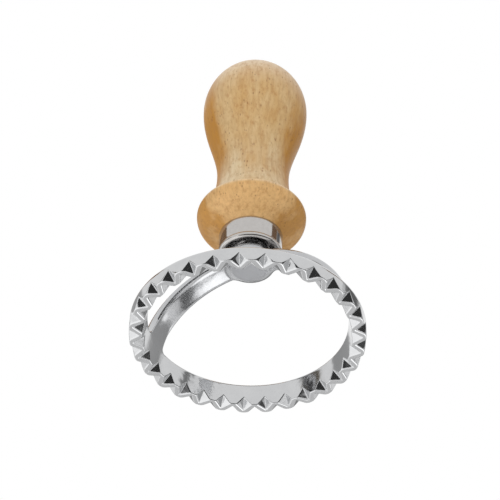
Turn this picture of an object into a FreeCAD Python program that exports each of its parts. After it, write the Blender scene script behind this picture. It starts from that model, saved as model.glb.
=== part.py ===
"""Ravioli stamp: a cast ring with a zigzag cutting rim, carried by an arch, a ferrule and a turned handle.

Millimetres. The stamp stands on its cutting rim: the rim plane is z = 0, the handle's axis is +Z,
and the arch spans the ring along X. Every piece is turned about the Z axis or built on it.
"""
import FreeCAD, Part
import math
import os

V = FreeCAD.Vector

# Cutting ring
RIM_DIAMETER = 63.5          # over the flat tips of the zigzag
RIM_WALL = 3.65              # radial thickness of the cast wall at the rim
RING_OUTER_HEIGHT = 4.5      # rim plane to the outer shoulder
RING_HEIGHT = 6.3            # rim plane to the back of the ring, on the inside
RING_DRAFT = 0.15            # the outer wall leans out by this much up to its shoulder
BORE_LEAN = 1.1              # the inside leans in by this much up to the back
BACK_SLOPE_WIDTH = 3.8       # of the slope from the outer shoulder in to the flat at the back
SHOULDER_ROUND = 0.7         # rounding of the outer shoulder

# Zigzag: V flutes cut from outside and from inside by turns
TOOTH_COUNT = 30
ZIGZAG_TURN = -1.4           # degrees from the arch's line to the nearest outer flute
LAND = 0.82                  # what a flute leaves of the wall at the rim plane
OUTER_FLUTE_WIDTH = 4.1      # on the outer wall, at the rim plane
OUTER_FLUTE_HEIGHT = 2.45    # of its valley over the rim plane, at the rim's outer radius
INNER_FLUTE_WIDTH = 4.0      # on the inner wall, at the rim plane
INNER_FLUTE_HEIGHT = 2.18    # of its valley over the rim plane, at the rim's inner radius
FLUTE_TOOL_REACH = 1.35      # the V cutter passes the wall by this factor of the flute's depth
FLUTE_TOOL_OVERRUN = 0.5     # and each end of the flute by this share of its height

# Arch: a strap of a spherical dome that carries on from the inside of the ring
ARCH_RISE = 20.9             # back of the ring to the underside of the crown
ARCH_THICKNESS = 2.0
ARCH_WIDTH = 7.2
ARCH_EDGE_ROUND = 0.5
ARCH_FOOT_ROUND = 1.6        # inside corner where the strap meets the ring

# Hub at the crown of the arch
HUB_DIAMETER = 13.8
HUB_FACE_DIAMETER = 8.4      # flat cast face that looks down into the ring
HUB_FACE_DROP = 1.4          # face below the hub's lower edge, which is level with the crown's underside
HUB_RISE = 2.7               # lower edge to shoulder
HUB_ROUND = 0.6
NECK_DIAMETER = 10.4
NECK_HEIGHT = 1.4
HUB_FLOOR = 1.6              # metal left under the stud

# Stud
STUD_DIAMETER = 5.0
STUD_LENGTH = 30.0
STUD_POINT_LENGTH = 5.0
STUD_POINT_DIAMETER = 1.6
STUD_CHAMFER = 0.5
STUD_CLEARANCE = 0.05        # round the stud, in the hub, the ferrule and the wood
STUD_END_SPACE = 1.0         # empty end of the bore in the wood
BORE_OVERRUN = 1.0           # the bore cutter passes the mouth of a bore by this much

# Ferrule: a drawn cap with a rolled lower lip
FERRULE_DIAMETER = 18.2
FERRULE_WALL = 0.6
FERRULE_HEIGHT = 7.35        # lowest point of the lip to the upper edge
FERRULE_LIP = 1.5            # width of the rolled lip
FERRULE_RECESS = 0.95        # closing face above the lowest point of the lip

# Handle
TENON_CLEARANCE = 0.05       # between the wood and the inside of the ferrule
TENON_CHAMFER = 0.4
FLARE_DIAMETER = 30.8
FLARE_HEIGHT = 7.6           # wood's lower shoulder to the widest line of the flare
FLARE_EDGE = 0.9             # height of the rounded edge above that line
FLARE_EDGE_IN = 0.55         # how far that edge turns in
COVE_HEIGHT = 14.9           # flare's edge to the waist
WAIST_DIAMETER = 21.0
BELLY_RISE = 28.8            # waist to the widest line of the grip
BELLY_DIAMETER = 31.4
CROWN_HEIGHT = 17.9          # widest line of the grip to the top
S_CURVE_EASE = 0.364         # share of the rise over which the S-curve leaves each end

# Places worked out from the sizes
RIM_RADIUS = RIM_DIAMETER / 2
RING_BORE_RADIUS = RIM_RADIUS - RIM_WALL
BACK_BORE_RADIUS = RING_BORE_RADIUS - BORE_LEAN
ARCH_RADIUS = (BACK_BORE_RADIUS ** 2 + ARCH_RISE ** 2) / (2 * ARCH_RISE)
ARCH_CENTRE_Z = RING_HEIGHT + ARCH_RISE - ARCH_RADIUS
HUB_EDGE_Z = RING_HEIGHT + ARCH_RISE
HUB_FACE_Z = HUB_EDGE_Z - HUB_FACE_DROP
HUB_SHOULDER_Z = HUB_EDGE_Z + HUB_RISE
NECK_TOP_Z = HUB_SHOULDER_Z + NECK_HEIGHT
STUD_BOTTOM_Z = HUB_FACE_Z + HUB_FLOOR
STUD_TOP_Z = STUD_BOTTOM_Z + STUD_LENGTH
FERRULE_BOTTOM_Z = NECK_TOP_Z - FERRULE_RECESS
FERRULE_TOP_Z = FERRULE_BOTTOM_Z + FERRULE_HEIGHT
TENON_BOTTOM_Z = NECK_TOP_Z + FERRULE_WALL + TENON_CLEARANCE
TENON_RADIUS = FERRULE_DIAMETER / 2 - FERRULE_WALL - TENON_CLEARANCE
FLARE_Z = FERRULE_TOP_Z + FLARE_HEIGHT
FLARE_EDGE_Z = FLARE_Z + FLARE_EDGE
WAIST_Z = FLARE_EDGE_Z + COVE_HEIGHT
BELLY_Z = WAIST_Z + BELLY_RISE
TOP_Z = BELLY_Z + CROWN_HEIGHT


def line(start, end):
    """A straight edge in the XZ plane between two (radius, height) points."""
    return Part.LineSegment(V(start[0], 0, start[1]), V(end[0], 0, end[1])).toShape()


def quarter(start, corner, end):
    """A quarter ellipse from start to end, tangent to the lines through corner."""
    curve = Part.BezierCurve()
    curve.setPoles([V(p[0], 0, p[1]) for p in (start, corner, end)])
    curve.setWeight(2, math.sqrt(0.5))
    return curve.toShape()


def s_curve(start, end):
    """A curve that leaves start and reaches end parallel to the axis."""
    ease = S_CURVE_EASE * (end[1] - start[1])
    poles = [start, (start[0], start[1] + ease), (end[0], end[1] - ease), end]
    curve = Part.BezierCurve()
    curve.setPoles([V(p[0], 0, p[1]) for p in poles])
    return curve.toShape()


def turned(edges):
    """The solid that a closed outline in the XZ plane makes when it is turned about Z."""
    face = Part.Face(Part.Wire(Part.__sortEdges__(edges)))
    solid = face.revolve(V(0, 0, 0), V(0, 0, 1), 360)
    return Part.Solid(solid.Shells[0]) if solid.ShapeType != "Solid" else solid


def turned_polygon(points):
    """The turned solid of a closed polygon of (radius, height) points."""
    edges = [line(a, b) for a, b in zip(points, points[1:] + points[:1])]
    return turned(edges)


def polar_copies(shape, count, first_angle):
    """Copies of a shape at even steps about Z."""
    copies = []
    for index in range(count):
        copy = shape.copy()
        copy.rotate(V(0, 0, 0), V(0, 0, 1), first_angle + index * 360 / count)
        copies.append(copy)
    return copies


def ring_blank():
    """The ring before the zigzag is cut: both walls lean, and the back slopes down to the shoulder."""
    shoulder_radius = RIM_RADIUS + RING_DRAFT
    back_edge = shoulder_radius - BACK_SLOPE_WIDTH
    slope = V(back_edge - shoulder_radius, 0, RING_HEIGHT - RING_OUTER_HEIGHT).normalize()
    below = (RIM_RADIUS + RING_DRAFT * (1 - SHOULDER_ROUND / RING_OUTER_HEIGHT),
             RING_OUTER_HEIGHT - SHOULDER_ROUND)
    above = (shoulder_radius + slope.x * SHOULDER_ROUND, RING_OUTER_HEIGHT + slope.z * SHOULDER_ROUND)
    bore_foot = (RING_BORE_RADIUS, 0)
    bore_top = (BACK_BORE_RADIUS, RING_HEIGHT)
    return turned([
        line(bore_foot, (RIM_RADIUS, 0)),
        line((RIM_RADIUS, 0), below),
        quarter(below, (shoulder_radius, RING_OUTER_HEIGHT), above),
        line(above, (back_edge, RING_HEIGHT)),
        line((back_edge, RING_HEIGHT), bore_top),
        line(bore_top, bore_foot),
    ])


def flute_tool(root_radius, wall_radius, width, height):
    """A V-shaped cutter on the +X side.

    Its valley starts at root_radius in the rim plane and leaves the wall at the given height.
    In every level section it is a triangle that opens from the valley towards the wall.
    """
    root = V(root_radius, 0, 0)
    out = V(wall_radius - root_radius, 0, 0)
    side = V(0, width / 2, 0)
    climb = V(wall_radius - root_radius, 0, height)
    start = root - climb * FLUTE_TOOL_OVERRUN
    corners = [start + (out + side) * FLUTE_TOOL_REACH, start + (out - side) * FLUTE_TOOL_REACH]
    triangle = Part.makePolygon([start] + corners + [start])
    return Part.Face(triangle).extrude(climb * (1 + 2 * FLUTE_TOOL_OVERRUN))


def zigzag_cutters():
    """All outer flutes, and all inner flutes half a pitch further round."""
    half_pitch = 180 / TOOTH_COUNT
    outer_wall = RIM_RADIUS * math.cos(math.asin(OUTER_FLUTE_WIDTH / 2 / RIM_RADIUS))
    outer = flute_tool(RING_BORE_RADIUS + LAND, outer_wall, OUTER_FLUTE_WIDTH, OUTER_FLUTE_HEIGHT)
    inner = flute_tool(RIM_RADIUS - LAND, RING_BORE_RADIUS, INNER_FLUTE_WIDTH, INNER_FLUTE_HEIGHT)
    outer_copies = polar_copies(outer, TOOTH_COUNT, ZIGZAG_TURN)
    return outer_copies + polar_copies(inner, TOOTH_COUNT, ZIGZAG_TURN + half_pitch)


def dome_shell():
    """The spherical shell that the arch is a strap of."""
    centre = V(0, 0, ARCH_CENTRE_Z)
    outside = Part.makeSphere(ARCH_RADIUS + ARCH_THICKNESS, centre, V(0, 0, 1), -90, 90, 360)
    inside = Part.makeSphere(ARCH_RADIUS, centre, V(0, 0, 1), -90, 90, 360)
    return outside.cut(inside)


def strap_slab():
    """The flat-sided slab that cuts the strap out of the dome, with a rounded foot each side."""
    half = ARCH_WIDTH / 2
    foot = half + ARCH_FOOT_ROUND
    low = RING_OUTER_HEIGHT
    high = ARCH_CENTRE_Z + ARCH_RADIUS + 2 * ARCH_THICKNESS
    bend = math.sqrt(0.5) * ARCH_FOOT_ROUND
    reach = ARCH_RADIUS + 2 * ARCH_THICKNESS
    edges = []
    for side in (1, -1):
        def at(y, z):
            return V(-reach, side * y, z)
        top_of_round = at(half, RING_HEIGHT + ARCH_FOOT_ROUND)
        mid_of_round = at(foot - bend, RING_HEIGHT + ARCH_FOOT_ROUND - bend)
        edges.append(Part.LineSegment(at(half, high), top_of_round).toShape())
        edges.append(Part.Arc(top_of_round, mid_of_round, at(foot, RING_HEIGHT)).toShape())
        edges.append(Part.LineSegment(at(foot, RING_HEIGHT), at(foot, low)).toShape())
    edges.append(Part.LineSegment(V(-reach, half, high), V(-reach, -half, high)).toShape())
    edges.append(Part.LineSegment(V(-reach, foot, low), V(-reach, -foot, low)).toShape())
    face = Part.Face(Part.Wire(Part.__sortEdges__(edges)))
    return face.extrude(V(2 * reach, 0, 0))


def arch():
    """The strap, with its long edges rounded."""
    strap = dome_shell().common(strap_slab())
    long_edges = [edge for edge in strap.Edges if is_strap_edge(edge)]
    return strap.makeFillet(ARCH_EDGE_ROUND, long_edges)


def is_strap_edge(edge):
    """True for an edge that runs over the crown along a flat side of the strap."""
    on_side = all(abs(abs(vertex.Y) - ARCH_WIDTH / 2) < 0.01 for vertex in edge.Vertexes)
    box = edge.BoundBox
    return on_side and box.YLength < 0.01 and box.XLength > ARCH_RADIUS / 2


def hub():
    """The round boss at the crown, with its cast face below and the neck for the ferrule above."""
    radius = HUB_DIAMETER / 2
    neck = NECK_DIAMETER / 2
    return turned([
        line((0, HUB_FACE_Z), (HUB_FACE_DIAMETER / 2, HUB_FACE_Z)),
        quarter((HUB_FACE_DIAMETER / 2, HUB_FACE_Z), (radius, HUB_FACE_Z), (radius, HUB_EDGE_Z)),
        line((radius, HUB_EDGE_Z), (radius, HUB_SHOULDER_Z - HUB_ROUND)),
        quarter((radius, HUB_SHOULDER_Z - HUB_ROUND), (radius, HUB_SHOULDER_Z),
                (radius - HUB_ROUND, HUB_SHOULDER_Z)),
        line((radius - HUB_ROUND, HUB_SHOULDER_Z), (neck, HUB_SHOULDER_Z)),
        line((neck, HUB_SHOULDER_Z), (neck, NECK_TOP_Z)),
        line((neck, NECK_TOP_Z), (0, NECK_TOP_Z)),
        line((0, NECK_TOP_Z), (0, HUB_FACE_Z)),
    ])


def stud_hole(bottom, top):
    """The round hole that the stud stands in."""
    return Part.makeCylinder(STUD_DIAMETER / 2 + STUD_CLEARANCE, top - bottom, V(0, 0, bottom))


def cutter():
    """The one-piece casting: zigzag ring, arch and hub."""
    ring = ring_blank().cut(zigzag_cutters())
    casting = ring.fuse([arch(), hub()]).cut(stud_hole(STUD_BOTTOM_Z, NECK_TOP_Z + BORE_OVERRUN))
    return casting.removeSplitter()


def tang_stud():
    """The stud: a plain lower end for the hub, and a point for the wood."""
    radius = STUD_DIAMETER / 2
    return turned_polygon([
        (0, STUD_BOTTOM_Z),
        (radius - STUD_CHAMFER, STUD_BOTTOM_Z),
        (radius, STUD_BOTTOM_Z + STUD_CHAMFER),
        (radius, STUD_TOP_Z - STUD_POINT_LENGTH),
        (STUD_POINT_DIAMETER / 2, STUD_TOP_Z),
        (0, STUD_TOP_Z),
    ])


def ferrule():
    """The drawn cap: thin wall, rolled lower lip, and a closing face that rests on the neck."""
    outside = FERRULE_DIAMETER / 2
    inside = outside - FERRULE_WALL
    hole = STUD_DIAMETER / 2 + STUD_CLEARANCE
    lip_mid = outside - FERRULE_LIP / 2
    lip_in = outside - FERRULE_LIP
    lip_top = FERRULE_BOTTOM_Z + FERRULE_LIP / 2
    face_top = NECK_TOP_Z + FERRULE_WALL
    return turned([
        line((outside, FERRULE_TOP_Z), (outside, lip_top)),
        quarter((outside, lip_top), (outside, FERRULE_BOTTOM_Z), (lip_mid, FERRULE_BOTTOM_Z)),
        quarter((lip_mid, FERRULE_BOTTOM_Z), (lip_in, FERRULE_BOTTOM_Z), (lip_in, lip_top)),
        line((lip_in, lip_top), (lip_in, NECK_TOP_Z)),
        line((lip_in, NECK_TOP_Z), (hole, NECK_TOP_Z)),
        line((hole, NECK_TOP_Z), (hole, face_top)),
        line((hole, face_top), (inside, face_top)),
        line((inside, face_top), (inside, FERRULE_TOP_Z)),
        line((inside, FERRULE_TOP_Z), (outside, FERRULE_TOP_Z)),
    ])


def handle():
    """The turned wood: tenon, flare, waist and egg-shaped grip, bored for the stud."""
    outside = FERRULE_DIAMETER / 2
    flare = FLARE_DIAMETER / 2
    edge = flare - FLARE_EDGE_IN
    waist = WAIST_DIAMETER / 2
    belly = BELLY_DIAMETER / 2
    tenon_end = TENON_RADIUS - TENON_CHAMFER
    blank = turned([
        line((0, TENON_BOTTOM_Z), (tenon_end, TENON_BOTTOM_Z)),
        line((tenon_end, TENON_BOTTOM_Z), (TENON_RADIUS, TENON_BOTTOM_Z + TENON_CHAMFER)),
        line((TENON_RADIUS, TENON_BOTTOM_Z + TENON_CHAMFER), (TENON_RADIUS, FERRULE_TOP_Z)),
        line((TENON_RADIUS, FERRULE_TOP_Z), (outside, FERRULE_TOP_Z)),
        quarter((outside, FERRULE_TOP_Z), (flare, FERRULE_TOP_Z), (flare, FLARE_Z)),
        quarter((flare, FLARE_Z), (flare, FLARE_EDGE_Z), (edge, FLARE_EDGE_Z)),
        quarter((edge, FLARE_EDGE_Z), (waist, FLARE_EDGE_Z), (waist, WAIST_Z)),
        s_curve((waist, WAIST_Z), (belly, BELLY_Z)),
        quarter((belly, BELLY_Z), (belly, TOP_Z), (0, TOP_Z)),
        line((0, TOP_Z), (0, TENON_BOTTOM_Z)),
    ])
    return blank.cut(stud_hole(TENON_BOTTOM_Z - BORE_OVERRUN, STUD_TOP_Z + STUD_END_SPACE))


def main():
    """Builds each piece and writes it to parts/."""
    os.makedirs("parts", exist_ok=True)
    for make in (cutter, tang_stud, ferrule, handle):
        shape = make()
        name = make.__name__
        shape.exportStep(os.path.join("parts", name + ".step"))
        box = shape.BoundBox
        print(name, "valid", shape.isValid(), "solids", len(shape.Solids),
              "volume %.0f" % shape.Volume, "z %.2f to %.2f" % (box.ZMin, box.ZMax))


main()
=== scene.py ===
# %% [markdown]
# # Ravioli stamp
# A ravioli stamp is a cast ring with a zigzag rim, an arch over it, a bright metal cap and a turned wooden
# handle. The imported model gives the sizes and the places, and this lesson dresses it: finer surfaces,
# polished cast metal and oiled wood. The cutting rim stands on the floor and the handle points up. The scene
# is in metres, and the outlines of the pieces are written in millimetres and made smaller with each mesh.

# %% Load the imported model
import bpy
import bmesh
import math
import numpy as np
from mathutils import Matrix, Vector


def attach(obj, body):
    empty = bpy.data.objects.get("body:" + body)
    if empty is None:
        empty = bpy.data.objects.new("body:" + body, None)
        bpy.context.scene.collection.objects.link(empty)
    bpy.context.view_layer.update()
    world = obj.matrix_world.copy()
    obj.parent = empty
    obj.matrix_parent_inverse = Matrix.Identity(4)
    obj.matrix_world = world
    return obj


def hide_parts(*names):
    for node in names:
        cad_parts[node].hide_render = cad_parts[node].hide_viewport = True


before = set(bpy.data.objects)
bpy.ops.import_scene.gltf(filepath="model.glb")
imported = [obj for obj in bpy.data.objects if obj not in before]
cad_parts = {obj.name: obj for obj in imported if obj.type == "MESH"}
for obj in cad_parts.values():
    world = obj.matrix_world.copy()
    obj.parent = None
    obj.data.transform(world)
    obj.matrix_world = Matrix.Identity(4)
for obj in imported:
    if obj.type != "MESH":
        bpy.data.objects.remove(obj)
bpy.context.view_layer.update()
scene = bpy.context.scene
print("nodes", sorted(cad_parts))

# %% [markdown]
# The stamp is seen from below its own floor, from the toothed side, with the handle going away from the
# viewer. The camera could be placed by eye, but thirty even teeth say exactly where it stood: a camera was
# fitted to their corners, and it is written here as a place, a direction and a focal length. A long lens
# (115 mm) keeps the ring and the handle in proportion.

# %% Camera
VIEW_FROM = Vector((0.12179, -0.30467, -0.27462))
VIEW_ALONG = Vector((-0.27103, 0.67718, 0.68408)).normalized()
VIEW_UP = Vector((0.22186, -0.64760, 0.72896))
view_right = VIEW_ALONG.cross(VIEW_UP).normalized()
view_up = view_right.cross(VIEW_ALONG).normalized()

camera_data = bpy.data.cameras.new("camera")
camera_data.sensor_width = 36.0
camera_data.lens = 115.2
camera_data.clip_start = 0.01
camera = bpy.data.objects.new("camera", camera_data)
turn = Matrix((view_right, view_up, -VIEW_ALONG)).transposed()
camera.matrix_world = Matrix.Translation(VIEW_FROM) @ turn.to_4x4()
scene.collection.objects.link(camera)
scene.camera = camera
print("camera at mm", [round(1000 * value, 1) for value in VIEW_FROM])

# %% [markdown]
# Materials are built from shader nodes. Writing each node by hand is long, so two small classes help. A
# NodeSheet adds a node of any type with its settings and its inputs. A Wire is the output of a node, and the
# usual signs of arithmetic work on it: each one adds the Math node it stands for.

# %% Helpers for material nodes
class Wire:
    """One output socket of a sheet. Plus, minus, times and divide add Math nodes."""

    def __init__(self, sheet, socket):
        self.sheet = sheet
        self.socket = socket

    def maths(self, operation, *values):
        """Adds one Math node, fed with these values in order."""
        return self.sheet.node("ShaderNodeMath", {"operation": operation}, dict(enumerate(values)))

    def __add__(self, other):
        return self.maths("ADD", self, other)

    def __radd__(self, other):
        return self.maths("ADD", other, self)

    def __sub__(self, other):
        return self.maths("SUBTRACT", self, other)

    def __rsub__(self, other):
        return self.maths("SUBTRACT", other, self)

    def __mul__(self, other):
        return self.maths("MULTIPLY", self, other)

    def __rmul__(self, other):
        return self.maths("MULTIPLY", other, self)

    def __truediv__(self, other):
        return self.maths("DIVIDE", self, other)

    def between(self, low, high):
        """0 at low, 1 at high, and a smooth step from one to the other."""
        settings = {"interpolation_type": "SMOOTHSTEP"}
        inputs = {"Value": self, "From Min": low, "From Max": high}
        return self.sheet.node("ShaderNodeMapRange", settings, inputs)

    def clear(self):
        """Held between 0 and 1."""
        return self.sheet.node("ShaderNodeClamp", {}, {"Value": self})


class NodeSheet:
    """The node tree of one material or world."""

    def __init__(self, owner):
        owner.use_nodes = True
        self.tree = owner.node_tree
        self.tree.nodes.clear()

    def node(self, kind, settings, inputs, output=0):
        """Adds a node: its settings first, then a value or a wire for each named or numbered input."""
        made = self.tree.nodes.new(kind)
        for key, value in settings.items():
            setattr(made, key, value)
        for key, value in inputs.items():
            self.feed(made.inputs[key], value)
        return Wire(self, made.outputs[output]) if made.outputs else None

    def feed(self, socket, value):
        """Links a wire to an input, or sets the input to a plain value."""
        if isinstance(value, Wire):
            self.tree.links.new(value.socket, socket)
        else:
            socket.default_value = value

    def place(self, **mapping):
        """The object's own coordinates, moved or stretched by a Mapping node."""
        where = self.node("ShaderNodeTexCoord", {}, {}, "Object")
        return self.node("ShaderNodeMapping", {}, {"Vector": where, **mapping})

    def axis(self, vector, index):
        """One coordinate of a vector."""
        return self.node("ShaderNodeSeparateXYZ", {}, {0: vector}, index)

    def noise(self, where, scale, detail=2.0, roughness=0.5, distortion=0.0):
        """Soft random values round a half, with this many waves to the metre."""
        inputs = {"Vector": where, "Scale": scale, "Detail": detail, "Roughness": roughness,
                  "Distortion": distortion}
        return self.node("ShaderNodeTexNoise", {}, inputs)

    def blend(self, share, first, second):
        """A colour that goes from first to second as share goes from 0 to 1."""
        settings = {"data_type": "RGBA", "clamp_factor": True}
        return self.node("ShaderNodeMix", settings, {0: share, 6: first, 7: second}, 2)

    def bump(self, height, strength, distance):
        """A small tilt, as if the surface rose by distance (in metres) where height is one."""
        inputs = {"Height": height, "Strength": strength, "Distance": distance}
        return self.node("ShaderNodeBump", {}, inputs)


def grey(level):
    """A colour without any tint."""
    return (level, level, level, 1.0)


print("node helpers ready")

# %% [markdown]
# The stage is a pale floor under the rim, a white surround and soft light. The camera looks up through the
# floor, so the floor is only there for rays that come from above. It keeps the stamp's shadow in every view
# from above, and lets light and reflections pass from below.

# %% Floor and surround
def plate(name, centre, toward, width, height, upright=(0, 0, 1)):
    """A flat rectangle at centre that faces the direction toward."""
    normal = Vector(toward).normalized()
    side = Vector(upright).cross(normal).normalized()
    rise = normal.cross(side)
    corners = [Vector(centre) + side * (a * width / 2) + rise * (b * height / 2)
               for a, b in ((-1, -1), (1, -1), (1, 1), (-1, 1))]
    mesh = bpy.data.meshes.new(name)
    mesh.from_pydata(corners, [], [(0, 1, 2, 3)])
    made = bpy.data.objects.new(name, mesh)
    scene.collection.objects.link(made)
    return made


def floor_paint():
    """Pale and matt from above, and clear for rays that come from below and for reflections."""
    paint = bpy.data.materials.new("floor_paint")
    sheet = NodeSheet(paint)
    matt = sheet.node("ShaderNodeBsdfDiffuse", {}, {"Color": grey(0.88)})
    clear = sheet.node("ShaderNodeBsdfTransparent", {}, {})
    shadow = sheet.node("ShaderNodeLightPath", {}, {}, "Is Shadow Ray")
    mirrored = sheet.node("ShaderNodeLightPath", {}, {}, "Is Glossy Ray")
    below = sheet.node("ShaderNodeNewGeometry", {}, {}, "Backfacing")
    hidden = (shadow + mirrored + below).clear()
    mixed = sheet.node("ShaderNodeMixShader", {}, {0: hidden, 1: matt, 2: clear})
    sheet.node("ShaderNodeOutputMaterial", {}, {"Surface": mixed})
    return paint


FLOOR_SIZE = 3.0
FLOOR_DROP = 0.0003
floor = plate("floor", (0, 0, -FLOOR_DROP), (0, 0, 1), FLOOR_SIZE, FLOOR_SIZE, upright=(0, 1, 0))
floor.data.materials.append(floor_paint())


def white_surround(level):
    """A world that is white to the camera and in reflections, and softer as a light on the object."""
    world = bpy.data.worlds.new("white_surround")
    sheet = NodeSheet(world)
    seen = sheet.node("ShaderNodeLightPath", {}, {}, "Is Camera Ray")
    mirrored = sheet.node("ShaderNodeLightPath", {}, {}, "Is Glossy Ray")
    through = sheet.node("ShaderNodeLightPath", {}, {}, "Is Transmission Ray")
    white = (seen + mirrored + through).clear()
    strength = level + white * (1.0 - level)
    light = sheet.node("ShaderNodeBackground", {}, {"Color": grey(1.0), "Strength": strength})
    sheet.node("ShaderNodeOutputWorld", {}, {"Surface": light})
    return world


scene.world = white_surround(0.55)
scene.view_settings.view_transform = "Standard"
print("floor and surround ready")

# %% [markdown]
# Polished metal shows the room more than itself, so the room is built too. Four soft lamps light the wood and
# the floor: at the left, in front, low down and overhead. Reflections don't see them, because a lamp's bright
# square would be harder than anything that the photographed metal shows. Cards take their place there. A
# card glows evenly, fades toward its edges and is seen by reflections only, so it takes no light from the
# wood. The dark card behind the viewer makes the dark facets of the teeth, the bright ones make the white
# facets, and the two brown ones make the brown bands at both sides of the cap. The greys are for the rest of
# the room.

# %% Lamps and cards
HEART = (0, 0, 0.04)
UPWARD = (0, 0, 1)


def from_camera(right, down, ahead, distance):
    """A point at a distance from the ring, in a direction given as the camera sees it."""
    way = view_right * right - view_up * down + VIEW_ALONG * ahead
    return way.normalized() * distance


def soft_lamp(name, place, aim, width, height, watts):
    """A flat lamp that lights surfaces and doesn't show in reflections."""
    data = bpy.data.lights.new(name, "AREA")
    data.shape = "RECTANGLE"
    data.size = width
    data.size_y = height
    data.energy = watts
    lamp = bpy.data.objects.new(name, data)
    tilt = (place - Vector(aim)).to_track_quat("Z", "Y").to_matrix().to_4x4()
    lamp.matrix_world = Matrix.Translation(place) @ tilt
    lamp.visible_glossy = False
    scene.collection.objects.link(lamp)


def glow(name, colour, softness):
    """An even light that fades out toward the four edges of a card."""
    paint = bpy.data.materials.new(name)
    sheet = NodeSheet(paint)
    across = sheet.node("ShaderNodeTexCoord", {}, {}, "UV")
    u, v = sheet.axis(across, 0), sheet.axis(across, 1)
    inside = (u * (1.0 - u) * 4.0).between(0.0, softness) * (v * (1.0 - v) * 4.0).between(0.0, softness)
    light = sheet.node("ShaderNodeEmission", {}, {"Color": colour, "Strength": 1.0})
    empty = sheet.node("ShaderNodeBsdfTransparent", {}, {})
    mixed = sheet.node("ShaderNodeMixShader", {}, {0: inside, 1: empty, 2: light})
    sheet.node("ShaderNodeOutputMaterial", {}, {"Surface": mixed})
    return paint


def card(name, place, width, height, colour, softness=0.5, upright=view_up):
    """A card that faces the ring and shows in reflections only."""
    made = plate(name, place, -place, width, height, upright)
    corners = made.data.uv_layers.new(name="card")
    for corner, spot in zip(corners.data, ((0, 0), (1, 0), (1, 1), (0, 1))):
        corner.uv = spot
    made.data.materials.append(glow(name, colour, softness))
    made.visible_camera = False
    made.visible_diffuse = False
    made.visible_transmission = False
    made.visible_shadow = False


# name, place, aim, width, height, watts
lamps = [
    ("lamp_left", from_camera(-0.77, 0.42, -0.48, 0.9), HEART, 0.95, 1.05, 4.3),
    ("lamp_front", from_camera(-0.15, -0.75, -0.65, 0.9), HEART, 0.5, 0.4, 2.4),
    ("lamp_low", from_camera(0.05, 0.80, -0.60, 0.8), HEART, 0.5, 0.4, 1.0),
    ("lamp_top", Vector((0.1, -0.1, 1.3)), (0, 0, 0), 1.2, 1.2, 5.5),
]
for lamp in lamps:
    soft_lamp(*lamp)

# name, place, width, height, colour, softness of the edges
cards = [
    ("card_low", from_camera(0.25, 0.95, -0.20, 1.0), 2.6, 2.2, grey(0.78), 0.4),
    ("card_lamp", from_camera(-0.72, 0.52, -0.46, 0.8), 1.25, 1.55, grey(1.45), 0.9),
    ("card_table", from_camera(0.46, 0.86, -0.20, 0.8), 0.75, 0.60, grey(2.0), 0.9),
    ("card_back", from_camera(0.335, -0.32, -0.89, 0.9), 3.0, 0.80, grey(0.045)),
    ("card_side", from_camera(0.94, 0.06, -0.33, 0.8), 0.42, 0.50, grey(0.09)),
    ("card_spot", from_camera(-0.88, -0.47, 0.08, 0.8), 0.34, 0.34, (0.11, 0.09, 0.06, 1), 0.8),
    ("card_stripe", from_camera(0.87, -0.50, 0.0, 0.8), 0.13, 0.30, grey(0.25), 0.6),
    ("card_left_band", from_camera(-0.66, -0.06, 0.75, 0.8), 0.75, 0.26, grey(0.42)),
    ("card_right_band", from_camera(0.88, 0.07, 0.46, 0.85), 1.10, 0.42, grey(0.42), 0.7),
    ("card_warm_left", Vector((-0.163, 0.045, 0.195)), 0.225, 0.040, (0.26, 0.155, 0.085, 1), 0.2, UPWARD),
    ("card_warm_right", Vector((0.162, 0.064, 0.182)), 0.085, 0.036, (0.22, 0.135, 0.080, 1), 0.2, UPWARD),
    ("card_notch", from_camera(0.71, -0.22, 0.67, 0.8), 0.34, 0.26, grey(0.16), 0.8),
    ("card_glint", from_camera(0.83, 0.29, 0.48, 0.78), 0.30, 0.10, grey(1.5), 0.8),
    ("card_leg", from_camera(0.80, 0.60, 0.10, 0.75), 0.24, 0.17, grey(0.05), 0.6),
    ("card_edge", from_camera(0.05, 0.50, 0.86, 0.7), 1.0, 0.55, grey(0.30)),
]
for row in cards:
    card(*row)
print(len(lamps), "lamps and", len(cards), "cards")

# %% [markdown]
# Round pieces are turned on a lathe, and their surface is turned here in the same way: an outline of radius
# and height, carried once round the axis. The outlines are joined from quarter ellipses, bows and S-curves,
# which is how a turner's coves, beads and swells run. Points are worked out as whole arrays.

# %% Outlines and turned surfaces
MM = 0.001


def quarter(start, corner, end, count):
    """A quarter ellipse: the start, plus the way to the corner times the sine of a turn that grows from 0 to
    90 degrees, plus the way from the corner to the end times one less its cosine."""
    start, corner, end = (np.array(point, float) for point in (start, corner, end))
    t = np.linspace(0, math.pi / 2, count)[:, None]
    return start + (corner - start) * np.sin(t) + (end - corner) * (1 - np.cos(t))


def bow(a, b, c, d, count):
    """A cubic curve from a to d that is drawn toward b and c. The way gone and the way left add up to one: a
    is weighed by the way left cubed, b by three times the way gone times the way left squared, c by three
    times the way gone squared times the way left, and d by the way gone cubed."""
    a, b, c, d = (np.array(point, float) for point in (a, b, c, d))
    t = np.linspace(0, 1, count)[:, None]
    return a * (1 - t) ** 3 + 3 * b * t * (1 - t) ** 2 + 3 * c * t ** 2 * (1 - t) + d * t ** 3


def s_curve(start, end, ease, count):
    """A bow that leaves start and reaches end parallel to the axis, drawn along it by ease times the climb."""
    rise = np.array((0.0, ease * (end[1] - start[1])))
    return bow(start, start + rise, end - rise, end, count)


def straight(start, end, count=2):
    """Even points on the line from start to end."""
    t = np.linspace(0, 1, count)[:, None]
    return np.array(start, float) * (1 - t) + np.array(end, float) * t


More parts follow.
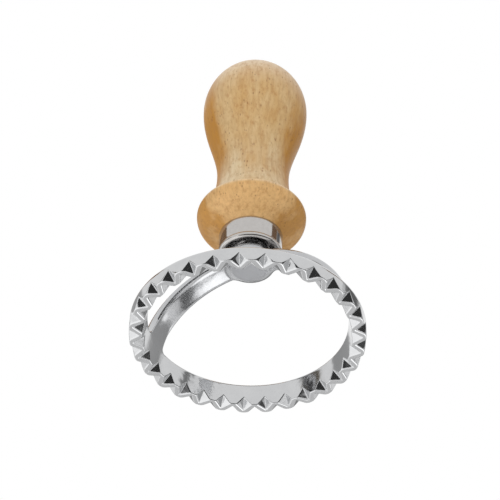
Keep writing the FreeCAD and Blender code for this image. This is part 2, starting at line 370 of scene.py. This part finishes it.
def joined(*runs):
    """One outline from runs that follow each other, without the repeated points."""
    points = np.vstack(runs)
    step = np.linalg.norm(np.diff(points, axis=0), axis=1)
    return points[np.concatenate(([True], step > 1e-6))]


def grid_faces(rows, columns, close_rows=False, close_columns=False):
    """Four-sided faces of a grid of points, as an array of point numbers."""
    i = np.arange(rows if close_rows else rows - 1)[:, None]
    j = np.arange(columns if close_columns else columns - 1)[None, :]
    i_next = (i + 1) % rows
    j_next = (j + 1) % columns
    faces = np.stack(np.broadcast_arrays(i * columns + j, i_next * columns + j,
                                         i_next * columns + j_next, i * columns + j_next), -1)
    return faces.reshape(-1, 4)


def make_piece(name, points, faces, merge=1e-6, sharp=None):
    """A mesh object from points in mm and faces: doubles merged, faces outwards, shaded smooth."""
    mesh = bpy.data.meshes.new(name)
    mesh.from_pydata((np.asarray(points) * MM).tolist(), [], np.asarray(faces).tolist())
    shape = bmesh.new()
    shape.from_mesh(mesh)
    bmesh.ops.remove_doubles(shape, verts=shape.verts, dist=merge)
    bmesh.ops.dissolve_degenerate(shape, edges=shape.edges, dist=merge)
    bmesh.ops.recalc_face_normals(shape, faces=shape.faces)
    shape.to_mesh(mesh)
    shape.free()
    mesh.polygons.foreach_set("use_smooth", np.ones(len(mesh.polygons), bool))
    if sharp is not None:
        mesh.set_sharp_from_angle(angle=math.radians(sharp))
    made = bpy.data.objects.new(name, mesh)
    scene.collection.objects.link(made)
    triangles = len(mesh.loops) - 2 * len(mesh.polygons)
    open_edges = int((np.bincount(edge_use(mesh)) == 1).sum())
    print(name, "points", len(mesh.vertices), "triangles", triangles, "open edges", open_edges)
    return made


def edge_use(mesh):
    """The edge number of each corner of each face."""
    used = np.empty(len(mesh.loops), int)
    mesh.loops.foreach_get("edge_index", used)
    return used


def turned(name, outline, sides, closed=False, sharp=None):
    """An outline carried round the axis: x is its radius times the cosine of the turn, y its radius times the
    sine, and z its height."""
    u = np.linspace(0, 2 * math.pi, sides, endpoint=False)
    radius = outline[:, :1]
    height = np.broadcast_to(outline[:, 1:], (len(outline), sides))
    points = np.stack((radius * np.cos(u), radius * np.sin(u), height), -1)
    faces = grid_faces(len(outline), sides, close_rows=closed, close_columns=True)
    return make_piece(name, points.reshape(-1, 3), faces, sharp=sharp)


print("lathe ready")

# %% [markdown]
# The handle is one piece of turned wood: a short tenon inside the cap, a wide flare that guards the fingers,
# a waist and an egg-shaped grip. The flare's widest line is a small rounded edge that catches the light. The
# widths were read from the photograph through the fitted camera.

# %% Wooden handle
BORE = 2.55
CROWN = 107.80
handle_outline = joined(
    straight((0, 58.40), (BORE, 58.40)),
    straight((BORE, 58.40), (BORE, 31.95)),
    straight((BORE, 31.95), (8.05, 31.95)),
    straight((8.05, 31.95), (8.45, 32.35)),
    straight((8.45, 32.35), (8.45, 37.70)),
    straight((8.45, 37.70), (9.10, 37.70)),
    bow((9.10, 37.70), (11.50, 40.10), (15.65, 41.50), (15.65, 45.30), 40),
    quarter((15.65, 45.30), (15.65, 46.30), (15.00, 46.30), 9),
    quarter((15.00, 46.30), (10.50, 46.30), (10.50, 61.10), 40),
    s_curve((10.50, 61.10), (15.70, 89.90), 0.364, 60),
    quarter((15.70, 89.90), (15.70, CROWN), (0, CROWN), 48),
)
handle = turned("turned_handle", handle_outline, 224, sharp=40)
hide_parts("handle")
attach(handle, "root")

# %% [markdown]
# The cap between the casting and the wood is drawn from thin sheet. It has a plain wall that widens a little
# upward, a rolled bead at its lower edge and a recessed face that sits on the casting's neck. Its edges are
# rounded a little, because a knife-sharp edge never catches light as real sheet metal does.

# %% Metal cap
ferrule_outline = joined(
    quarter((9.10, 31.10), (9.10, 31.75), (8.95, 31.80), 10),
    quarter((8.95, 31.80), (8.85, 31.82), (8.85, 32.10), 5),
    straight((8.85, 32.10), (9.10, 37.55), 12),
    quarter((9.10, 37.55), (9.10, 37.70), (8.95, 37.70), 5),
    straight((8.95, 37.70), (8.50, 37.70)),
    straight((8.50, 37.70), (8.50, 31.90)),
    straight((8.50, 31.90), (BORE, 31.90)),
    straight((BORE, 31.90), (BORE, 31.30)),
    straight((BORE, 31.30), (7.45, 31.30)),
    quarter((7.45, 31.30), (7.60, 31.30), (7.60, 31.15), 4),
    quarter((7.60, 31.10), (7.60, 30.35), (8.35, 30.35), 12),
    quarter((8.35, 30.35), (9.10, 30.35), (9.10, 31.10), 12),
)[:-1]
ferrule = turned("metal_cap", ferrule_outline, 192, closed=True, sharp=35)
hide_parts("ferrule")
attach(ferrule, "root")

# %% [markdown]
# The casting is harder, because nothing on it is sharp: casting and polishing round every edge. A bevel would
# work on straight edges, but here three edges meet at every tooth. So the shape is written as a field: a
# function that is zero on the surface, negative inside the metal and near the surface about the distance to
# it. Two shapes are joined with a smooth minimum, or cut with a smooth maximum, and that rounds the edge
# between them.

# %% Smooth cuts and joins
def smooth_max(a, b, band):
    """The larger of a and b. Where their gap is less than the band, it grows by a quarter of the band times
    the square of the share of the band that the gap leaves."""
    share = np.clip(1 - np.abs(a - b) / band, 0, None)
    return np.maximum(a, b) + 0.25 * band * share * share


def smooth_min(a, b, band):
    """The smaller of a and b, less the same rounding."""
    return -smooth_max(-a, -b, band)


def steepness(field, points, step=1e-3):
    """The gradient of a field: its change over a small step both ways along each axis."""
    sides = []
    for axis in range(3):
        shift = np.zeros(3)
        shift[axis] = step
        sides.append((field(points + shift) - field(points - shift)) / (2 * step))
    return np.stack(sides, -1)


def settled(field, points, rounds=7):
    """Points moved onto the surface: each round steps back along the gradient by the field's value over the
    gradient's length, at most 0.2 mm."""
    for _ in range(rounds):
        value = field(points)[..., None]
        slope = steepness(field, points)
        move = value * slope / np.maximum((slope ** 2).sum(-1, keepdims=True), 1e-9)
        length = np.linalg.norm(move, axis=-1, keepdims=True)
        points = points - move * np.minimum(1, 0.2 / np.maximum(length, 1e-9))
    return points


def use_field_normals(piece, field):
    """Shades a piece with the true direction of its surface, from the field's gradient at each point."""
    mesh = piece.data
    points = np.empty(len(mesh.vertices) * 3)
    mesh.vertices.foreach_get("co", points)
    slope = steepness(field, points.reshape(-1, 3) / MM)
    slope /= np.maximum(np.linalg.norm(slope, axis=-1, keepdims=True), 1e-9)
    mesh.normals_split_custom_set_from_vertices(slope.tolist())


print("smooth cuts ready")

# %% [markdown]
# The ring's rim is cut by V flutes, thirty from outside and thirty from inside, half a pitch apart, so that a
# zigzag land is left to cut and crimp the dough. One half tooth, six degrees of the ring, holds the whole
# pattern: half an outer flute at its one side and half an inner flute at the other. Its field is five walls
# and two flutes. Any point of the ring is first turned into that half tooth.

# %% The half tooth as a field
TEETH = 30
PITCH = 2 * math.pi / TEETH
ZIGZAG_TURN = math.radians(-1.4)
RIM, BORE_RIM = 31.75, 28.10
SHOULDER, SHOULDER_HIGH = 31.90, 4.50
BACK_BORE, BACK_HIGH, BACK_EDGE = 27.00, 6.30, 28.10
OUTER_ROOT, OUTER_CLIMB, OUTER_SPREAD = 28.92, 1.1282, 0.815
INNER_ROOT, INNER_CLIMB, INNER_SPREAD = 30.93, 1.2982, 0.755
SLOPE_RUN, SLOPE_RISE = SHOULDER - BACK_EDGE, BACK_HIGH - SHOULDER_HIGH
SHOULDER_ROUND, BACK_ROUND, LAND_ROUND = 1.1, 0.5, 0.30
FLUTE_ROUND, TIP_ROUND, TIP_REACH = 0.16, 0.50, 0.8


def outer_wall(z):
    """The outside's radius at a height: it grows evenly from the rim to the shoulder."""
    return RIM + (SHOULDER - RIM) * z / SHOULDER_HIGH


def inner_wall(z):
    """The bore's radius at a height: it shrinks evenly from the rim to the back."""
    return BORE_RIM + (BACK_BORE - BORE_RIM) * z / BACK_HIGH


def ring_walls(radius, z):
    """Distances to the outside with its sloping back, to the bore, and to the flat at the back."""
    slope = (radius - SHOULDER) * SLOPE_RISE + (z - SHOULDER_HIGH) * SLOPE_RUN
    slope = slope / math.hypot(SLOPE_RUN, SLOPE_RISE)
    outside = smooth_max(radius - outer_wall(z), slope, SHOULDER_ROUND)
    return outside, inner_wall(z) - radius, z - BACK_HIGH


def folded(points, turn):
    """A point's radius, its angle less the nearest whole number of pitches, and its height."""
    angle = np.arctan2(points[..., 1], points[..., 0]) - turn
    angle = angle - np.round(angle / PITCH) * PITCH
    return np.hypot(points[..., 0], points[..., 1]), angle, points[..., 2]


def soft_size(value, softness=0.06):
    """A value's size without the sharp corner at zero: the root of its square plus the softness squared."""
    return np.sqrt(value * value + softness * softness)


def ring_field(points, turn=ZIGZAG_TURN):
    """The ring's walls, cut by wedges that are turned by an angle. A wedge is its spread times the depth past
    its sloping root, less the distance to its middle plane. Edges are rounder near the tips of the teeth."""
    radius, angle, z = folded(points, turn)
    outside, bore, back = ring_walls(radius, z)
    x, y = radius * np.cos(angle), radius * np.sin(angle)
    outer = OUTER_SPREAD * (x - OUTER_ROOT - OUTER_CLIMB * z) - soft_size(y)
    outer = outer / math.sqrt(OUTER_SPREAD ** 2 * (1 + OUTER_CLIMB ** 2) + 1)
    past = PITCH / 2 - np.abs(angle)
    x, y = radius * np.cos(past), radius * np.sin(past)
    inner = INNER_SPREAD * (INNER_ROOT - INNER_CLIMB * z - x) - soft_size(y)
    inner = inner / math.sqrt(INNER_SPREAD ** 2 * (1 + INNER_CLIMB ** 2) + 1)
    tip = FLUTE_ROUND + TIP_ROUND * np.exp(-(z / TIP_REACH) ** 2)
    sides = np.maximum(smooth_max(outside, outer, tip), smooth_max(bore, inner, FLUTE_ROUND))
    return smooth_max(smooth_max(sides, back, BACK_ROUND), -z, LAND_ROUND)


def unturned_field(points):
    """The ring's surface with an outer flute at angle zero."""
    return ring_field(points, turn=0.0)


print("pitch of", round(math.degrees(PITCH), 1), "degrees")

# %% [markdown]
# The points themselves are laid out along the edges of the sharp shape, close together where an edge will be
# round, and then settled onto the field. Each flute wall is a fan from the root of the flute to the line
# where it leaves the wall. The land is a band between two zigzag lines. The rest is a grid of columns that go
# from one flute line over the back to the other. The half tooth is mirrored, copied round and merged.

# %% Cutting ring
def spaced(*stops):
    """Shares of the way from one line to the next, closer together where the surface bends."""
    return np.array(stops, float)


FAN = spaced(0, .13, .28, .44, .60, .74, .85, .92, .965, .985, 1)
LEAVE = spaced(0, .035, .08, .15, .25, .38, .52, .66, .79, .89, .955, 1)
TIP_ARC = spaced(0, .10, .24, .45, .72, 1)
ACROSS = spaced(0, .06, .14, .24, .38, .62, .76, .86, .94, 1)
UP = spaced(0, .05, .12, .22, .37, .56, .78, 1)
BELT = 3.15


def leaving_line(root, climb, spread, wall, outward):
    """Where a flute's wall meets the ring's wall: at each height, the distance from the flute's middle plane
    at which both are as far from the axis, which is the root of a quadratic."""
    top = abs(root - wall(0)) / (climb + outward * (wall(0) - wall(1)))
    z = top * LEAVE
    valley = root + outward * climb * z
    a = 1 + 1 / spread ** 2
    b = 2 * outward * valley / spread
    c = valley ** 2 - wall(z) ** 2
    root_part = np.sqrt(np.maximum(b * b - 4 * a * c, 0))
    y = np.maximum((-b + outward * root_part) / (2 * a), 0)
    return np.stack((valley + outward * y / spread, y, z), -1)


def mirrored_at(points, angle):
    """Points mirrored in the x axis and then turned by an angle round the z axis."""
    x, y = points[..., 0], -points[..., 1]
    return np.stack((x * math.cos(angle) - y * math.sin(angle), x * math.sin(angle) + y * math.cos(angle),
                     points[..., 2]), -1)


def polar(radius, angle, z):
    """Points whose x is the radius times the angle's cosine, y the radius times its sine, and z the height."""
    radius, angle, z = np.broadcast_arrays(radius, angle, z)
    return np.stack((radius * np.cos(angle), radius * np.sin(angle), z), -1)


def angle_of(points):
    """Each point's angle round the axis."""
    return np.arctan2(points[..., 1], points[..., 0])


def between(first, second, shares):
    """Rows of points: one less a share times the first line, plus the share times the second."""
    shares = shares[:, None, None]
    return first * (1 - shares) + second * shares


half = PITCH / 2
outer_leave = leaving_line(OUTER_ROOT, OUTER_CLIMB, OUTER_SPREAD, outer_wall, 1)
inner_leave = mirrored_at(leaving_line(INNER_ROOT, INNER_CLIMB, INNER_SPREAD, inner_wall, -1), half)
outer_root = np.array((OUTER_ROOT, 0, 0))
inner_root = polar(INNER_ROOT, half, 0.0)
outer_tip = polar(RIM, angle_of(outer_leave[0]) * (1 - TIP_ARC) + half * TIP_ARC, 0.0)
inner_tip = polar(BORE_RIM, angle_of(inner_leave[0]) * (1 - TIP_ARC[::-1]), 0.0)

outer_fan = between(np.broadcast_to(outer_root, outer_leave.shape), outer_leave, FAN)
inner_fan = between(np.broadcast_to(inner_root, inner_leave.shape), inner_leave, FAN)
land_out = np.vstack((outer_fan[:, 0], outer_tip[1:]))
land_in = np.vstack((inner_tip, inner_fan[::-1, 0][1:]))
land = between(land_out, land_in, ACROSS)


def wall_columns(low_line, wall):
    """Columns that climb from a line on a wall to the belt, at each point's own angle."""
    z = low_line[:, 2] * (1 - UP[:, None]) + BELT * UP[:, None]
    return polar(wall(z), angle_of(low_line), z)


outer_low = np.vstack((outer_leave[::-1], outer_tip[1:]))
inner_low = np.vstack((inner_tip, inner_leave[1:]))
outer_columns = wall_columns(outer_low, outer_wall)
inner_columns = wall_columns(inner_low, inner_wall)

section = np.array([(outer_wall(z), z, 0) for z in (BELT, 3.55, 3.8, 4.0, 4.2, 4.35, 4.5)]
                   + [(SHOULDER - SLOPE_RUN * s, SHOULDER_HIGH + SLOPE_RISE * s, s)
                      for s in (.04, .09, .16, .26, .4, .56, .72, .86, .95, 1)]
                   + [(r, BACK_HIGH, 1) for r in (27.9, 27.65, 27.4, 27.2, 27.08, 27.0)]
                   + [(inner_wall(z), z, 1) for z in (6.2, 6.05, 5.85, 5.5, 5.0, 4.3, 3.7, BELT)])
angles = angle_of(outer_low) * (1 - section[:, 2:]) + angle_of(inner_low) * section[:, 2:]
over_back = polar(section[:, :1], angles, section[:, 1:2])

patches = [outer_fan, inner_fan, land, outer_columns, inner_columns, over_back]
starts = np.cumsum([0] + [patch.shape[0] * patch.shape[1] for patch in patches])
half_tooth = settled(unturned_field, np.vstack([patch.reshape(-1, 3) for patch in patches]))
half_faces = np.vstack([grid_faces(*patch.shape[:2]) + start for patch, start in zip(patches, starts)])


def all_round(points, faces):
    """The half tooth and its mirror image, turned to each of the thirty places."""
    tooth = np.concatenate((points, points * (1, -1, 1)))
    tooth_faces = np.concatenate((faces, faces[:, ::-1] + len(points)))
    angle = ZIGZAG_TURN + PITCH * np.arange(TEETH)[:, None]
    x = tooth[:, 0] * np.cos(angle) - tooth[:, 1] * np.sin(angle)
    y = tooth[:, 0] * np.sin(angle) + tooth[:, 1] * np.cos(angle)
    z = np.broadcast_to(tooth[:, 2], x.shape)
    ring_faces = tooth_faces + len(tooth) * np.arange(TEETH)[:, None, None]
    return np.stack((x, y, z), -1).reshape(-1, 3), ring_faces.reshape(-1, 4)


cutting_ring = make_piece("cutting_ring", *all_round(half_tooth, half_faces), merge=2e-6)
use_field_normals(cutting_ring, ring_field)
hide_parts("cutter")
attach(cutting_ring, "root")

# %% [markdown]
# The arch is a strap of a spherical dome, and the hub is a round boss with a neck. Both flow into each other
# and into the ring with the soft fillets of a casting. Here the grid comes from the field itself: space is
# filled with small cells, each cell that the surface passes gets one point at the mean of its crossings, and
# neighbouring points are joined. This is called a surface net. The points are then settled onto the field.
# The arch's feet reach down inside the ring's metal, so that the two meshes read as the one casting they are.

# %% Arch and hub as a field
DOME, DOME_Z, STRAP_THICK, STRAP_HALF = 27.89, -0.69, 2.4, 4.15
COLLAR_HALF, FOOT_LOW, SUNK = 6.3, 3.4, 0.02
STRAP_ROUND, HUB_ROUND, HOLLOW_ROUND = 1.5, 0.9, 0.15
STUD_LOW = 27.40
CELL = 0.25
hub_outline = joined(
    straight((0, 25.80), (4.20, 25.80)),
    quarter((4.20, 25.80), (6.90, 25.80), (6.90, 27.20), 12),
    straight((6.90, 27.20), (6.90, 29.30)),
    quarter((6.90, 29.30), (6.90, 29.90), (6.30, 29.90), 6),
    straight((6.30, 29.90), (5.20, 29.90)),
    straight((5.20, 29.90), (5.20, 31.30)),
    straight((5.20, 31.30), (0, 31.30)),
)


def outline_distance(radius, z, outline):
    """The distance to the nearest side of an outline, negative inside it."""
    best = np.full(radius.shape, 1e9)
    inside = np.zeros(radius.shape, bool)
    for (r0, z0), (r1, z1) in zip(outline[:-1], outline[1:]):
        run, rise = r1 - r0, z1 - z0
        share = np.clip(((radius - r0) * run + (z - z0) * rise) / (run * run + rise * rise), 0, 1)
        best = np.minimum(best, np.hypot(radius - r0 - share * run, z - z0 - share * rise))
        if rise > 0:
            inside |= (z >= z0) & (z < z1) & (radius < r0 + run * (z - z0) / rise)
    return np.where(inside, -best, best)


def arch_field(points):
    """Strap and ring top are joined, cut from below by bore and dome, and joined to the hub with its bore."""
    y, z = points[..., 1], points[..., 2]
    radius = np.hypot(points[..., 0], y)
    reach = np.sqrt(radius ** 2 + (z - DOME_Z) ** 2)
    strap = smooth_max(reach - DOME - STRAP_THICK, np.abs(y) - STRAP_HALF, STRAP_ROUND)
    outside, bore, back = ring_walls(radius, z)
    collar = np.maximum(smooth_max(outside, back, BACK_ROUND) + SUNK, np.abs(y) - COLLAR_HALF)
    foot_round = 1.7 * np.clip((z - 3.6) / 2.2, 0.02, 1)
    edge_round = 0.6 + 1.3 * np.clip((z - 6.5) / 5, 0, 1)
    body = smooth_min(strap, collar, foot_round)
    hollow = smooth_min(bore + SUNK, DOME - reach, HOLLOW_ROUND)
    body = smooth_max(body, hollow, edge_round)
    whole = smooth_min(body, outline_distance(radius, z, hub_outline), HUB_ROUND)
    stud_bore = np.maximum(radius - BORE, STUD_LOW - z)
    return np.maximum(np.maximum(whole, -stud_bore), FOOT_LOW - z)


print("hub outline points", len(hub_outline))

# %% Arch and hub
def surface_net(field, low, high, cell):
    """A closed mesh of a field: one point in each crossed cell, one face round each crossed grid edge."""
    axes = [np.arange(a, b + cell, cell) for a, b in zip(low, high)]
    grid = np.stack(np.meshgrid(*axes, indexing="ij"), -1)
    value = field(grid)
    inside = value < 0
    cells = tuple(size - 1 for size in value.shape)
    total = np.zeros(cells + (3,))
    count = np.zeros(cells)
    for axis in range(3):
        step = np.zeros(3, int)
        step[axis] = 1
        for corner in range(4):
            start = np.zeros(3, int)
            start[(axis + 1) % 3], start[(axis + 2) % 3] = corner // 2, corner % 2
            here = tuple(slice(s, s + c) for s, c in zip(start, cells))
            there = tuple(slice(s, s + c) for s, c in zip(start + step, cells))
            a, b = value[here], value[there]
            crossed = inside[here] != inside[there]
            share = np.where(crossed, a / np.where(crossed, a - b, 1), 0)[..., None]
            total += np.where(crossed[..., None], grid[here] + (grid[there] - grid[here]) * share, 0)
            count += crossed
    used = count > 0
    number = np.full(cells, -1)
    number[used] = np.arange(used.sum())
    points = total[used] / count[used][:, None]
    faces = []
    for axis in range(3):
        one, two = (axis + 1) % 3, (axis + 2) % 3
        span = [slice(1, c) for c in cells]
        span[axis] = slice(0, cells[axis])
        after = list(span)
        after[axis] = slice(1, cells[axis] + 1)
        crossed = inside[tuple(span)] != inside[tuple(after)]
        around = []
        for back_one, back_two in ((0, 0), (1, 0), (1, 1), (0, 1)):
            spot = list(span)
            spot[one] = slice(1 - back_one, cells[one] - back_one)
            spot[two] = slice(1 - back_two, cells[two] - back_two)
            around.append(number[tuple(spot)][crossed])
        faces.append(np.stack(around, -1))
    return points, np.vstack(faces)


net_points, net_faces = surface_net(arch_field, (-32.5, -7.5, 3.2), (32.5, 7.5, 31.8), CELL)
arch = make_piece("arch_and_hub", settled(arch_field, net_points, rounds=3), net_faces, merge=1e-7)
use_field_normals(arch, arch_field)
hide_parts("cutter")
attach(arch, "root")

# %% [markdown]
# The wood is pale, close-grained and oiled: honey yellow with random warmer patches. Light and shade are
# painted
# into its colour as well: painted shade makes the two sides at the left and right of the view darker and more
# orange, painted bounce light makes the underside of the flare brighter and more orange, and painted sheen
# makes the waist, the crown and the flare's edge paler. It has soft streaks along the grain, a fine mottle and
# many short dark pores. These come from noise in the object's own coordinates. The noise is stretched along
# the handle, because grain runs the way the wood was sawn, and so the pattern cuts through the turned shape as
# it does in real wood.

# %% Wood finish
GRAIN_STRETCH = 0.10
# The turn below lines a frame up with the left and right of the view, where the two sides get painted shade.
SIDE_SHADE_TURN = math.radians(-20.5)


def wood_finish():
    """Oiled wood: broad tones with painted shade, painted bounce light and painted sheen first, then mottle
    and pores. Heights are in metres.
    """
    paint = bpy.data.materials.new("oiled_wood")
    sheet = NodeSheet(paint)
    along = sheet.place(Scale=(1.0, 1.0, GRAIN_STRETCH))
    broad = sheet.noise(along, 150.0, detail=3.0, roughness=0.55, distortion=0.4)
    fine = sheet.noise(along, 1100.0, detail=3.0, roughness=0.65)
    patch = sheet.noise(sheet.place(Scale=(1.0, 1.0, 0.5)), 110.0, detail=3.0, roughness=0.6)
    mottle = sheet.noise(sheet.place(Scale=(1.0, 1.0, 0.6)), 900.0, detail=3.0, roughness=0.7)
    swung = sheet.place(Rotation=(0.0, 0.0, SIDE_SHADE_TURN))
    across, depth = sheet.axis(swung, 0), sheet.axis(swung, 1)
    height_up = sheet.axis(along, 2) / GRAIN_STRETCH

    # Painted shade: the two sides at the left and right of the view are darker and more orange.
    painted_side_shade = (across * across / (across * across + depth * depth + 1e-8)).between(0.20, 1.0)
    # Painted bounce light: the underside of the flare is brighter and more orange.
    painted_bounce_under_flare = 1.0 - height_up.between(0.044, 0.049)
    # Painted sheen: the crown of the grip is paler.
    painted_crown_sheen = height_up.between(0.084, 0.106)
    # Painted sheen: the waist is paler, mostly between the two shaded sides.
    painted_waist_sheen = height_up.between(0.046, 0.052) * (1.0 - height_up.between(0.056, 0.074))
    # Painted highlight: a thin paler line along the flare's rounded edge.
    painted_flare_edge_highlight = height_up.between(0.0448, 0.0456) * (1.0 - height_up.between(0.0466, 0.0480))
    # Random warm tone from noise, plus the painted shade of the two sides.
    warm_tone_and_side_shade = (painted_side_shade * 0.95 + (broad - 0.5) * 1.5 + (patch - 0.5) * 2.0 + 0.10).clear()

    colour = sheet.blend(warm_tone_and_side_shade, (0.650, 0.455, 0.228, 1), (0.490, 0.225, 0.030, 1))
    # Painted bounce light under the flare, then painted sheen at the crown, the waist and the flare's edge.
    colour = sheet.blend(painted_bounce_under_flare * (1.0 - warm_tone_and_side_shade * 0.8), colour, (0.720, 0.440, 0.185, 1))
    colour = sheet.blend(painted_crown_sheen * 0.8, colour, (0.730, 0.620, 0.470, 1))
    colour = sheet.blend(painted_waist_sheen * (1.0 - warm_tone_and_side_shade) * 0.8, colour, (0.690, 0.560, 0.360, 1))
    colour = sheet.blend(painted_flare_edge_highlight * 0.45, colour, (0.780, 0.640, 0.430, 1))
    colour = sheet.blend((fine - 0.44) * 1.5, colour, (0.36, 0.170, 0.050, 1))
    colour = sheet.blend((mottle - 0.50) * 2.2, colour, (0.42, 0.190, 0.055, 1))

    pore_place = sheet.place(Scale=(1.0, 1.0, 0.38))
    pores = sheet.node("ShaderNodeTexVoronoi", {"feature": "F1"}, {"Vector": pore_place, "Scale": 1150.0})
    sparse = sheet.noise(sheet.place(Scale=(1.0, 1.0, 0.5)), 520.0, detail=1.0)
    pore = (1.0 - pores.between(0.10, 0.30)) * sparse.between(0.46, 0.60)
    colour = sheet.blend(pore * 0.55, colour, (0.200, 0.075, 0.028, 1))
    roughness = 0.40 + (broad - 0.5) * 0.16 + pore * 0.12
    relief = fine * 0.5 + mottle * 0.3 - pore * 0.8
    surface = sheet.node("ShaderNodeBsdfPrincipled", {}, {
        "Base Color": colour, "Roughness": roughness, "Specular IOR Level": 0.22,
        "Normal": sheet.bump(relief, 0.3, 0.00006)})
    sheet.node("ShaderNodeOutputMaterial", {}, {"Surface": surface})
    return paint


handle.data.materials.append(wood_finish())
print("wood finish ready")

# %% [markdown]
# The casting is nearly a mirror, but a cast mirror: its surface still has faint waves and the fine haze of
# the buffing wheel. The arch is a little duller than the ring, and the small face under the hub, where no
# wheel reaches, keeps a grainy skin. The cap is drawn sheet, with fine lines that run round it. The stud
# inside is plain steel and isn't seen from outside.

# %% Metal finishes
def metal(level, roughness, relief=None):
    """Ends a sheet as metal, with its colour and roughness, and with a bump where one is given."""
    sheet = level.sheet
    inputs = {"Base Color": level, "Metallic": 1.0, "Roughness": roughness}
    if relief is not None:
        inputs["Normal"] = relief
    surface = sheet.node("ShaderNodeBsdfPrincipled", {}, inputs)
    sheet.node("ShaderNodeOutputMaterial", {}, {"Surface": surface})


def cast_finish():
    """A mirror on the ring, satin on the arch above it, and grainy on the hub's lower face."""
    paint = bpy.data.materials.new("cast_metal")
    sheet = NodeSheet(paint)
    where = sheet.place()
    wave = sheet.noise(where, 240.0, detail=2.0, roughness=0.5)
    haze = sheet.noise(where, 1400.0, detail=3.0, roughness=0.6)
    sand = sheet.noise(where, 2600.0, detail=3.0, roughness=0.7)
    height_up = sheet.axis(where, 2)
    satin = height_up.between(0.0040, 0.0180)
    middle = sheet.node("ShaderNodeVectorMath", {"operation": "MULTIPLY"}, {0: where, 1: (1.0, 1.0, 0.0)})
    off_axis = sheet.node("ShaderNodeVectorMath", {"operation": "LENGTH"}, {0: middle}, 1)
    under_hub = (1.0 - off_axis.between(0.0046, 0.0056)) * (1.0 - height_up.between(0.0262, 0.0266))
    face = satin * under_hub
    worn = haze * 0.4 + (wave - 0.5) * 0.5 + satin * 0.40 + face * (sand + 0.2)
    level = sheet.blend(worn, (0.60, 0.605, 0.61, 1), (0.44, 0.445, 0.46, 1))
    roughness = 0.10 + satin * 0.07 + (haze - 0.5) * 0.02 + (wave - 0.5) * 0.06 + face * 0.30
    metal(level, roughness.clear(), sheet.bump(wave * 0.6 + face * sand * 0.5, 0.5, 0.0003))
    return paint


def cap_finish():
    """Drawn sheet with fine lines round the axis."""
    paint = bpy.data.materials.new("drawn_cap")
    sheet = NodeSheet(paint)
    lines = sheet.noise(sheet.place(Scale=(0.15, 0.15, 1.0)), 1500.0, detail=2.0)
    haze = sheet.noise(sheet.place(), 900.0, detail=2.0)
    level = sheet.blend(haze, (0.53, 0.515, 0.50, 1), (0.465, 0.445, 0.43, 1))
    roughness = 0.10 + (haze - 0.5) * 0.04 + (lines - 0.5) * 0.03
    metal(level, roughness.clear(), sheet.bump(lines, 0.04, 0.00003))
    return paint


def stud_finish():
    """Plain steel rod with drawing lines along it."""
    paint = bpy.data.materials.new("plain_steel")
    sheet = NodeSheet(paint)
    drawn = sheet.noise(sheet.place(Scale=(1.0, 1.0, 0.08)), 2200.0, detail=2.0)
    metal(sheet.blend(drawn, grey(0.42), grey(0.34)), 0.34 + (drawn - 0.5) * 0.2)
    return paint


def repaint(node, paint):
    """Gives a CAD node's object one material."""
    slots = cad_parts[node].data.materials
    slots.clear()
    slots.append(paint)


ferrule.data.materials.append(cap_finish())
repaint("tang_stud", stud_finish())
cast_metal = cast_finish()
for casting in (cutting_ring, arch):
    casting.data.materials.append(cast_metal)
print("metal finishes ready")

# %% [markdown]
# Last, the scene is brought up to date. The dressed stamp may not be larger than the imported one.

# %% Update the scene
bpy.context.view_layer.update()
